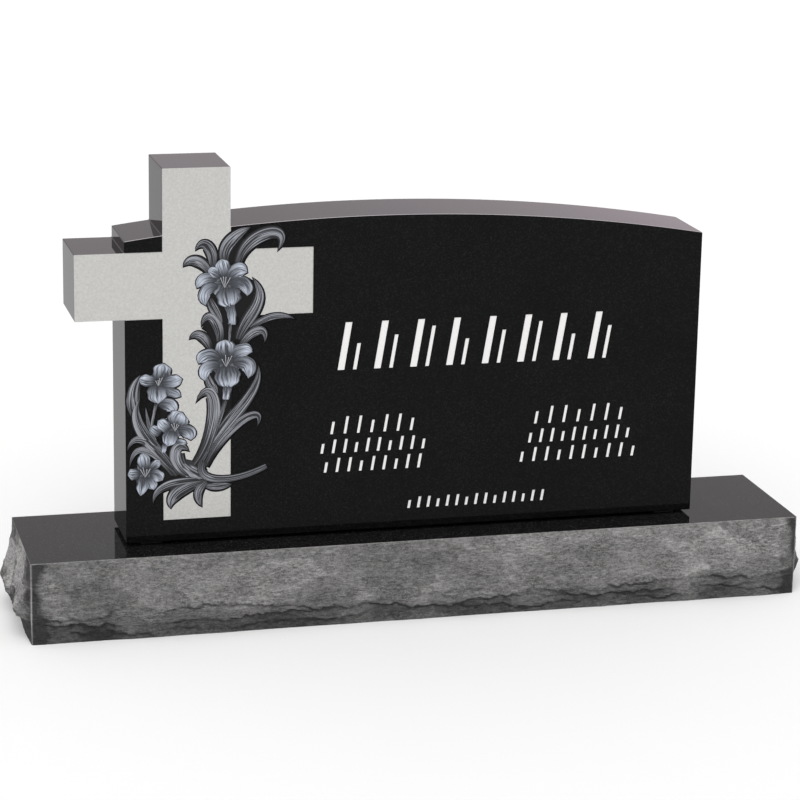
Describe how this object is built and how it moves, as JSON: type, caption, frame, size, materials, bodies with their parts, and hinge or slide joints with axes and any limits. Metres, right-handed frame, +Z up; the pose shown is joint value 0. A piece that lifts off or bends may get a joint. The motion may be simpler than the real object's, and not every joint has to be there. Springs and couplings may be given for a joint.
{
  "type": "upright headstone",
  "caption": "Polished granite slab headstone with an arched top, a projecting cross and carved lilies, standing on a rock-pitched base.",
  "frame": {"origin": "middle of the base's underside, at ground level", "axes": "+X along the length, to the right of someone facing the inscription; +Y to the back; +Z up"},
  "size_m": [1.5823, 0.3486, 0.8865],
  "materials": {
    "base_granite": "rock-pitched sides with a polished top",
    "black_granite": "polished, with a blasted cross and a carved lily spray in pale grey",
    "setting_pad": "matt"
  },
  "bodies": {
    "root": {"base": "base_granite", "die": "black_granite", "setting_pad_1": "setting_pad", "setting_pad_2": "setting_pad", "setting_pad_3": "setting_pad", "setting_pad_4": "setting_pad"}
  },
  "joints": []
}
